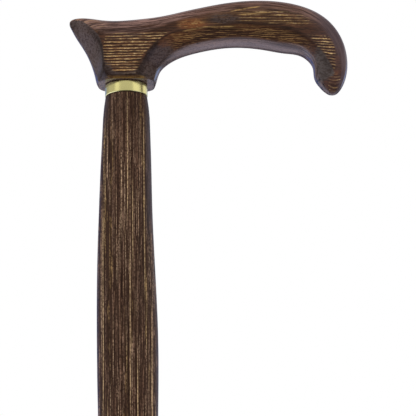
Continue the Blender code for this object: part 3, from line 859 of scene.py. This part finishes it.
class Graph:
    """Short calls that add nodes to a material or a world."""

    def __init__(self, tree):
        self.tree = tree

    def node(self, kind, settings=(), inputs=()):
        made = self.tree.nodes.new(kind)
        for name, value in dict(settings).items():
            setattr(made, name, value)
        for name, value in dict(inputs).items():
            self.feed(made.inputs[name], value)
        return made

    def feed(self, socket, value):
        if isinstance(value, bpy.types.NodeSocket):
            self.tree.links.new(value, socket)
        else:
            socket.default_value = value

    def math(self, operation, *values):
        made = self.node("ShaderNodeMath", {"operation": operation})
        for socket, value in zip(made.inputs, values):
            self.feed(socket, value)
        return made.outputs[0]

    def times(self, *values):
        product = values[0]
        for value in values[1:]:
            product = self.math("MULTIPLY", product, value)
        return product

    def step(self, value, low, high, start=0.0, end=1.0):
        """The start's value up to low, the end's from high on, and a smooth step between them."""
        inputs = {"Value": value, "From Min": low, "From Max": high, "To Min": start, "To Max": end}
        return self.node("ShaderNodeMapRange", {"interpolation_type": "SMOOTHSTEP"}, inputs).outputs[0]

    def fall(self, value, low, high):
        """1 up to low, 0 from high on, and a smooth step between them."""
        return self.step(value, low, high, 1.0, 0.0)

    def between(self, value, low, high, soft):
        """1 between low and high and 0 outside them, with soft edges."""
        start = self.step(value, low - soft, low + soft)
        return self.times(start, self.fall(value, high - soft, high + soft))

    def layer_share(self, level, period, noise, amount):
        """How far into its layer a place lies, from 0 to 1, with a noise that makes the layers ragged."""
        return self.math("FRACT", self.math("ADD", self.times(level, 1 / period), self.times(noise, amount)))

    def mix(self, share, a, b):
        made = self.node("ShaderNodeMix", {"data_type": "RGBA"})
        for socket, value in zip((made.inputs[0], made.inputs[6], made.inputs[7]), (share, a, b)):
            self.feed(socket, value)
        return made.outputs[2]

    def paint(self, ground, layers):
        """Lay colours over the ground in turn, each as strongly as the product of its shares."""
        for tint, *shares in layers:
            ground = self.mix(self.times(*shares), ground, tint)
        return ground

    def split(self, value, kind="ShaderNodeSeparateXYZ"):
        made = self.node(kind)
        self.feed(made.inputs[0], value)
        return made.outputs

    def attribute(self, name):
        return self.node("ShaderNodeAttribute", {"attribute_name": name}).outputs


class Surface(Graph):
    """A material's graph, with the place on the piece and the shader's inputs."""

    def __init__(self, name, values):
        self.material = bpy.data.materials.new(name)
        self.material.use_nodes = True
        super().__init__(self.material.node_tree)
        self.inputs = self.tree.nodes["Principled BSDF"].inputs
        self.place = self.node("ShaderNodeTexCoord").outputs["Object"]
        for socket, value in values.items():
            self.set(socket, value)

    def set(self, name, value):
        self.feed(self.inputs[name], value)

    def noise(self, scale, detail=2.0, roughness=0.5, place=None):
        """Noise over the piece or another place, whose scale may differ along X, Y and Z."""
        scaled = self.node("ShaderNodeVectorMath", {"operation": "MULTIPLY"})
        self.feed(scaled.inputs[0], self.place if place is None else place)
        self.feed(scaled.inputs[1], scale)
        inputs = {"Vector": scaled.outputs[0], "Scale": 1.0, "Detail": detail, "Roughness": roughness}
        return self.node("ShaderNodeTexNoise", {}, inputs).outputs["Fac"]

    def centred(self, *settings):
        """Noise that goes to both sides of 0."""
        return self.math("SUBTRACT", self.noise(*settings), 0.5)

    def bump(self, height, strength, distance):
        inputs = {"Strength": strength, "Distance": distance, "Height": height}
        self.set("Normal", self.node("ShaderNodeBump", {}, inputs).outputs[0])


def handle_vein(g, x, height, left, start, right, end, half):
    """1 along a straight vein on the handle's side, which starts at one X and height and ends at another."""
    middle = g.math("ADD", g.times(g.math("SUBTRACT", x, left), (end - start) / (right - left)), start)
    away = g.math("ABSOLUTE", g.math("SUBTRACT", height, middle))
    fade = VEIN_FADE * (right - left)
    ends = g.times(g.step(x, left, left + fade), g.fall(x, right - fade, right))
    return g.times(g.fall(away, 0.3 * half, 1.2 * half), ends)


def handle_wood():
    """Scorched wood whose layers lie level, so that golden lines cross the flat sides along X."""
    g = Surface("handle_wood", {
        "Specular IOR Level": 0.03, "Coat Weight": 0.8, "Coat Roughness": 0.13, "Coat IOR": VARNISH_IOR,
    })
    figure = g.attribute("figure")
    tone = g.attribute("tone")
    grain = g.attribute("grain")["Vector"]
    nose, bend, beak = g.split(g.attribute("form")["Vector"])
    lines, lower, amber = g.split(figure["Color"], "ShaderNodeSeparateColor")
    end, top, collar_reflection = g.split(tone["Color"], "ShaderNodeSeparateColor")
    under = tone["Alpha"]
    x, _, z = g.split(g.place)
    over_seat = g.math("SUBTRACT", z, SEAT_Z)
    ragged = g.centred((170, 700, 700), 2, 0.6)
    lines = g.step(g.math("ADD", lines, g.times(ragged, 0.65)), 0.28, 0.68)
    end = g.step(g.math("ADD", end, g.times(ragged, 0.8)), 0.25, 0.75)
    drift = g.centred((26, 40, 130))
    wave = g.centred((240, 260, 800), 3, 0.65)
    stray = g.math("ADD", g.times(drift, LAYER_DRIFT), g.times(wave, LAYER_WAVE))
    level = g.math("SUBTRACT", g.math("ADD", z, stray), bend)
    fibre = g.noise((150, 2400, 2400), 3, 0.65)
    streaks = g.noise((38, 1200, 1200), 3, 0.6)
    streak = g.step(streaks, 0.42, 0.56)
    crackle = g.noise((900, 1500, 1500), 3, 0.7)
    breaks = g.noise((480, 900, 900), 2, 0.6)
    along = g.noise((80, 160, 660), 2, 0.6)
    rind = g.noise((60, 1600, 1600), 3, 0.7, grain)
    rind_spread = g.noise((30, 420, 420), 2, 0.5, grain)
    seat_spread = g.noise((600, 170, 600), 2, 0.6)

    share = g.layer_share(level, LAYER_PERIOD, fibre, 0.38)
    bright = g.times(g.step(share, 0.12, 0.22), g.fall(share, 0.34, 0.54))
    bright = g.times(bright, g.step(along, 0.38, 0.56, 0.18), g.step(breaks, 0.36, 0.50, 0.35))
    dark = g.math("MAXIMUM", g.fall(share, 0.0, 0.12), g.step(share, 0.60, 0.80))
    fine_share = g.layer_share(level, FINE_PERIOD, crackle, 0.6)
    fine = g.times(g.step(fine_share, 0.1, 0.36), g.fall(fine_share, 0.44, 0.70), streak)
    fine_dark = g.step(fine_share, 0.60, 0.90)

    gold = g.mix(g.step(crackle, 0.42, 0.62), GOLD, PALE_GOLD)
    # The top: grain streaks, with a pale purple-brown over them that is a painted sheen
    rind_wood = g.paint(g.mix(g.step(rind, 0.44, 0.56), g.mix(beak, TOP_DARK, SCORCHED), TOP_SHEEN_BROWN), (
        (GOLD, beak, g.step(rind, 0.54, 0.66), 0.8),
        (NOSE_BROWN, nose, 0.85),
    ))
    end_pale = g.mix(nose, g.mix(beak, END_GRAIN, BEAK_END), NOSE_END)
    end_dark = g.mix(nose, g.mix(beak, END_DARK, BEAK_END_DARK), NOSE_END_DARK)
    end_share = g.step(g.math("ADD", g.times(crackle, 0.5), g.times(breaks, 0.5)), 0.41, 0.55)
    under_share = g.step(g.math("ADD", g.times(rind, 0.5), g.times(rind_spread, 0.5)), 0.38, 0.58)
    mottle = g.times(g.fall(over_seat, *SEAT_FACE), g.step(g.math("ABSOLUTE", x), *BESIDE_COLLAR))
    wood = g.paint(g.mix(g.step(fibre, 0.34, 0.62), SCORCHED, BROWN), (
        (RUSSET, g.step(streaks, 0.44, 0.60), 0.6),
        (AMBER, g.step(fibre, 0.34, 0.56, 0.25), amber),
        (GOLD, g.step(breaks, 0.52, 0.62), streak, amber, 0.45),
        (RUSSET, g.step(along, 0.38, 0.60), lines, 0.75),
        (NOSE_BROWN, nose, 0.35),
        (SCORCHED, lower, g.step(along, 0.36, 0.60, 0.2, 0.6)),
        (SOOT_AND_SHADE, dark, lines, 0.78),
        (gold, bright, lines, 0.90),
        (SOOT_AND_SHADE, fine_dark, lower, 0.65),
        (GOLD, fine, lower, 0.42),
        (rind_wood, top, g.step(rind_spread, 0.30, 0.56, 0.6)),
        (g.mix(end_share, end_dark, end_pale), end, 0.85),
        # The honey strip: a painted reflection of the brass collar
        (g.mix(streak, DARK_HONEY_REFLECTION, HONEY_REFLECTION), collar_reflection, g.step(breaks, 0.30, 0.55, 0.6), 0.85),
        (g.mix(under_share, UNDER_DARK, UNDER_PALE), under, 0.75),
        (SOOT_AND_SHADE, under, g.step(crackle, 0.55, 0.62), 0.9),
        (SOOT_AND_SHADE, under, mottle, g.step(seat_spread, 0.46, 0.58)),
    ))
    height = g.math("ADD", over_seat, g.times(wave, VEIN_WAVE))
    broken = g.step(breaks, 0.32, 0.50, 0.3)
    for *vein, strength in GOLDEN_VEINS:
        wood = g.paint(wood, [(GOLD, handle_vein(g, x, height, *vein), broken, strength)])
    # Soot patches, dark veins and painted shade darken the wood
    shade = figure["Alpha"]
    for *vein, strength in DARK_VEINS:
        shade = g.math("MAXIMUM", shade, g.times(handle_vein(g, x, height, *vein), strength))
    g.set("Base Color", g.paint(wood, [(SOOT_AND_SHADE, shade, g.step(fibre, 0.30, 0.62, 1.0, 0.7))]))
    g.set("Roughness", g.step(fibre, 0.3, 0.7, 0.42, 0.58))
    g.bump(fibre, 0.15, 0.0002)
    return g.material


def shaft_wood():
    """Scorched wood in upright layers across X, so that its front shows fine straight lines along Z."""
    g = Surface("shaft_wood", {
        "Specular IOR Level": 0.05, "Coat Weight": 0.2, "Coat Roughness": 0.24, "Coat IOR": VARNISH_IOR,
    })
    sway = g.centred((120, 120, 14))
    x, y, z = g.split(g.place)
    x = g.math("ADD", x, g.times(sway, SHEET_SWAY))
    g.place = g.node("ShaderNodeCombineXYZ", {}, {"X": x, "Y": y, "Z": z}).outputs[0]
    fibre = g.noise((1900, 300, 90), 3, 0.7)
    strand = g.noise((2300, 300, 10), 1, 0.5)
    hair = g.noise((2600, 420, 90), 1, 0.5)
    needle = g.noise((3100, 260, 14), 1, 0.5)
    pores = g.noise((2000, 900, 800), 2, 0.6)
    breaks = g.noise((1500, 500, 850), 1, 0.5)
    spread = g.noise((520, 200, 16), 2, 0.55)
    tone = g.noise((300, 120, 12), 2, 0.55)
    drift = g.centred((160, 60, 6))

    level = g.math("ADD", x, g.times(drift, SHEET_DRIFT))
    share = g.layer_share(level, SHEET_PERIOD, fibre, 0.4)
    bright = g.times(g.step(share, 0.14, 0.19), g.fall(share, 0.25, 0.32))
    bright = g.times(bright, g.step(spread, 0.46, 0.60, 0.20))
    dark = g.times(g.step(share, 0.54, 0.60), g.fall(share, 0.76, 0.84))
    fibrous = g.step(fibre, 0.38, 0.60)
    crisp = g.times(g.step(breaks, 0.40, 0.58, 0.40), g.step(z, *SHAFT_FADE, 1.0, 0.50))
    line = g.mix(g.step(tone, 0.40, 0.47), SHAFT_GOLD, g.mix(g.step(tone, 0.53, 0.60), SHAFT_TAN, SHAFT_RED))
    wood = g.paint(g.mix(fibrous, SHAFT_DARK, SHAFT_BROWN), (
        (SHAFT_SOOT, g.fall(strand, 0.36, 0.42), 0.6),
        (SHAFT_SOOT, dark, 0.3),
        (line, g.step(hair, 0.60, 0.65), crisp, 0.48),
        (line, g.step(strand, 0.63, 0.67), crisp, 0.42),
        (g.mix(0.5, line, SHAFT_PALE), g.step(needle, 0.660, 0.690), crisp),
        (line, bright, crisp, 0.38),
        (SHAFT_SOOT, g.step(pores, 0.52, 0.60), 0.66),
    ))
    pale_gold = g.mix(0.5, SHAFT_GOLD, SHAFT_PALE)
    crisp_front = g.times(crisp, g.fall(y, -SIDE_EDGE, SIDE_EDGE))
    for line_x, low, high, half, strength in SHAFT_VEINS:
        away = g.math("ABSOLUTE", g.math("SUBTRACT", x, line_x))
        vein = g.times(g.fall(away, 0.3 * half, 1.1 * half), g.between(z, low, high, END_EDGE))
        wood = g.paint(wood, [(pale_gold, vein, crisp_front, strength)])
    # A painted sheen: plum-brown bands along the shaft's sides
    sheen = g.mix(fibrous, SHEEN_PLUM_DARK, SHEEN_PLUM)
    for left, right, low, high, strength in SHEEN_BANDS:
        band = g.times(g.between(x, left, right, SIDE_EDGE), g.between(z, low, high, END_EDGE))
        wood = g.paint(wood, [(sheen, band, strength)])
    g.set("Base Color", wood)
    g.set("Roughness", g.step(fibre, 0.3, 0.7, 0.45, 0.62))
    g.bump(fibre, 0.2, 0.0002)
    return g.material


def brass():
    """Polished brass with faint turning marks round it."""
    g = Surface("brass", {"Metallic": 1.0})
    marks = g.noise((30, 30, 5000), 3, 0.6)
    haze = g.noise((300, 300, 300))
    g.set("Base Color", g.mix(haze, BRASS, BRASS_PALE))
    g.set("Roughness", g.step(haze, 0.3, 0.7, 0.23, 0.29))
    g.bump(marks, 0.05, 0.00005)
    return g.material


def rubber():
    """Matte black moulded rubber."""
    g = Surface("rubber", {"Specular IOR Level": 0.35})
    grain = g.noise((2500, 2500, 2500), 2, 0.6)
    dust = g.noise((140, 140, 90), 3, 0.6)
    g.set("Base Color", g.mix(g.step(dust, 0.35, 0.75), RUBBER, RUBBER_DUSTY))
    g.set("Roughness", g.step(grain, 0.3, 0.7, 0.58, 0.78))
    g.bump(grain, 0.3, 0.0001)
    return g.material


def steel():
    """Plain steel with lengthwise marks."""
    g = Surface("steel", {"Metallic": 1.0})
    marks = g.noise((900, 900, 60), 3, 0.6)
    g.set("Base Color", g.mix(marks, STEEL, STEEL_PALE))
    g.set("Roughness", g.step(marks, 0.3, 0.7, 0.28, 0.42))
    return g.material


def lower_edge(radius, low, edge):
    """Points round the lower outer edge of a turned piece, from its underside up to its side."""
    angles = [0.5 * math.pi * i / ROUNDING_STEPS for i in range(ROUNDING_STEPS + 1)]
    return [(radius - edge + edge * math.sin(a), low + edge - edge * math.cos(a)) for a in angles]


def make_collar(metal):
    inner = COLLAR_RADIUS - COLLAR_WALL
    low, high = COLLAR_LOW.z, COLLAR_HIGH.z
    outer = lower_edge(COLLAR_RADIUS, low, COLLAR_EDGE)
    outer += [(radius, low + high - height) for radius, height in reversed(outer)]
    add_piece("brass_collar", turn([(inner, low)] + outer + [(inner, high)]), metal, "collar")


def shaft_radius():
    """The shaft's radius over the height above its tip: a long taper, a swell and a narrow top."""
    tip = 0.5 * SHAFT_TIP_DIAMETER
    swell = 0.5 * SHAFT_SWELL_DIAMETER
    top = COLLAR_RADIUS - COLLAR_PROUD
    below = SHAFT_LENGTH - SWELL_DROP
    points = [(share * below, tip + size * (swell - tip)) for share, size in TAPER]
    points += [(below + share * SWELL_DROP, top + size * (swell - top)) for share, size in FLARE]
    return smooth_line(points)


def make_shaft(wood):
    radius_at = shaft_radius()
    tenon = COLLAR_RADIUS - COLLAR_WALL - GAP
    tip = 0.5 * SHAFT_TIP_DIAMETER
    profile = [(0.0, TIP_Z), (tip - TIP_CHAMFER, TIP_Z), (tip, TIP_Z + TIP_CHAMFER), (tip, FERRULE_HIGH.z)]
    start = FERRULE_HIGH.z - TIP_Z + GAP
    for height in run(start, SHAFT_LENGTH, SHAFT_RINGS) + [SHAFT_LENGTH]:
        profile.append((float(radius_at(height)[0]), TIP_Z + height))
    profile += [(tenon, SHOULDER_Z), (tenon, SEAT_Z - GAP), (0.0, SEAT_Z - GAP)]
    data = turn(profile)
    for vertex in data.verts:
        drop = (SHOULDER_Z - vertex.co.z) / BOW_REACH
        if 0 < drop < 1 and math.hypot(vertex.co.x, vertex.co.y) > tenon:
            vertex.co.x -= BOW * math.sin(math.pi * drop) ** 2
    add_piece("turned_shaft", data, wood, "shaft")


def tread_profile():
    """The ferrule's ringed tread, from the axis outwards to the last ring's inner edge."""
    radius = TREAD_CENTRE_RADIUS
    points = [(0.0, 0.0), (radius - TREAD_ROUNDING, 0.0)]
    for _ in range(TREAD_RINGS):
        points += [(radius, TREAD_ROUNDING), (radius, TREAD_DEPTH), (radius + TREAD_GROOVE, TREAD_DEPTH)]
        points += [(radius + TREAD_GROOVE, TREAD_ROUNDING), (radius + TREAD_GROOVE + TREAD_ROUNDING, 0.0)]
        radius += TREAD_GROOVE + TREAD_LAND
        points.append((radius - TREAD_ROUNDING, 0.0))
    return points[:-1]


def make_ferrule(black):
    """The rubber tip: a wide base with a ringed tread, a waist and a beaded mouth round the shaft."""
    socket = 0.5 * SHAFT_TIP_DIAMETER + GAP
    top = socket + FERRULE_WALL
    waist = top + FERRULE_TAPER
    base = 0.5 * FERRULE_BASE_DIAMETER
    flank = smooth_line([
        (position, base - inward * (base - waist), up * FERRULE_BASE_HEIGHT)
        for position, inward, up in FERRULE_FLANK
    ])
    last = FERRULE_FLANK[-1][0]
    bead_low = FERRULE_HIGH.z - BEAD_HEIGHT
    profile = tread_profile() + lower_edge(base, 0.0, FERRULE_ROUNDING)
    profile += [tuple(float(v) for v in flank(last * i / FLANK_STEPS)) for i in range(FLANK_STEPS + 1)]
    for i in range(BEAD_STEPS):
        a = math.pi * i / BEAD_STEPS
        profile.append((top + BEAD_PROUD * math.sin(a), bead_low + 0.5 * BEAD_HEIGHT * (1 - math.cos(a))))
    profile += [(top - MOUTH_CHAMFER, FERRULE_HIGH.z), (socket, FERRULE_HIGH.z)]
    profile += [(socket, FERRULE_FLOOR), (0.0, FERRULE_FLOOR)]
    add_piece("rubber_ferrule", turn(profile), black, "ferrule")


def make_camera():
    """The photograph's camera: low, far away, a little rolled and looking up at the handle."""
    camera = bpy.data.cameras.new("camera")
    camera.sensor_width = SENSOR_WIDTH
    camera.lens = SENSOR_WIDTH * CAMERA_DISTANCE / PICTURE_WIDTH
    camera.clip_start, camera.clip_end = CAMERA_CLIP
    view = put_in_scene("camera", camera)
    place = Matrix.Translation(CAMERA_PLACE)
    tilt = Matrix.Rotation(math.radians(90 + CAMERA_RISE), 4, "X")
    view.matrix_world = place @ tilt @ Matrix.Rotation(CAMERA_ROLL, 4, "Z")
    bpy.context.scene.camera = view


def make_world():
    """White behind the object, an even fill, and for mirror rays a grey studio with cards."""
    world = bpy.data.worlds.new("studio")
    bpy.context.scene.world = world
    world.use_nodes = True
    g = Graph(world.node_tree)
    away = g.split(g.node("ShaderNodeTexCoord").outputs["Generated"])
    azimuth = g.times(g.math("ARCTAN2", away[0], g.times(away[1], -1.0)), math.degrees(1.0))
    elevation = g.times(g.math("ARCSINE", away[2]), math.degrees(1.0))
    studio = g.mix(g.step(elevation, -HORIZON_EDGE, HORIZON_EDGE), STUDIO_LOW, STUDIO_HIGH)
    for left, right, low, high, soft, tint in STUDIO_CARDS:
        # A card that reaches past 180 degrees shows on both sides of the back
        side = g.math("ABSOLUTE", azimuth) if right > 180 else azimuth
        card = g.times(g.between(side, left, right, soft), g.between(elevation, low, high, soft))
        studio = g.mix(card, studio, (*tint, 1.0))
    path = g.node("ShaderNodeLightPath").outputs
    unseen = g.mix(path["Is Glossy Ray"], FILL, studio)
    seen = g.math("MAXIMUM", path["Is Camera Ray"], path["Is Transmission Ray"])
    g.feed(world.node_tree.nodes["Background"].inputs["Color"], g.mix(seen, unseen, WHITE))


def make_lamps():
    """Soft lamps for the diffuse light. What the varnish and the brass mirror is in the world."""
    for name, place, width, height, power in LAMPS:
        light = bpy.data.lights.new(name, "AREA")
        light.shape = "RECTANGLE"
        light.size, light.size_y = width, height
        light.energy = power
        lamp = put_in_scene(name, light)
        lamp.location = place
        lamp.rotation_euler = (Vector(LAMP_TARGET) - Vector(place)).to_track_quat("-Z", "Y").to_euler()
        lamp.visible_camera = False
        lamp.visible_glossy = False


def make_floor():
    data = bmesh.new()
    bmesh.ops.create_circle(data, cap_ends=True, segments=FLOOR_SIDES, radius=FLOOR_RADIUS)
    g = Surface("floor", {"Roughness": 0.9, "Specular IOR Level": 0.1})
    g.set("Base Color", g.mix(g.noise((40, 40, 40)), FLOOR, FLOOR_PALE))
    floor = put_mesh("floor", data, g.material)
    floor.location.z = -FLOOR_DROP
    floor.visible_glossy = False


def main():
    dull = steel()
    add_piece("carved_handle", carve_handle(), handle_wood(), "handle")
    make_collar(brass())
    make_shaft(shaft_wood())
    for node in ("joining_stud", "ferrule_washer"):
        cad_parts[node].data.materials.clear()
        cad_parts[node].data.materials.append(dull)
    make_ferrule(rubber())
    make_floor()
    make_world()
    make_lamps()
    make_camera()
    bpy.context.scene.view_settings.view_transform = "Standard"


main()
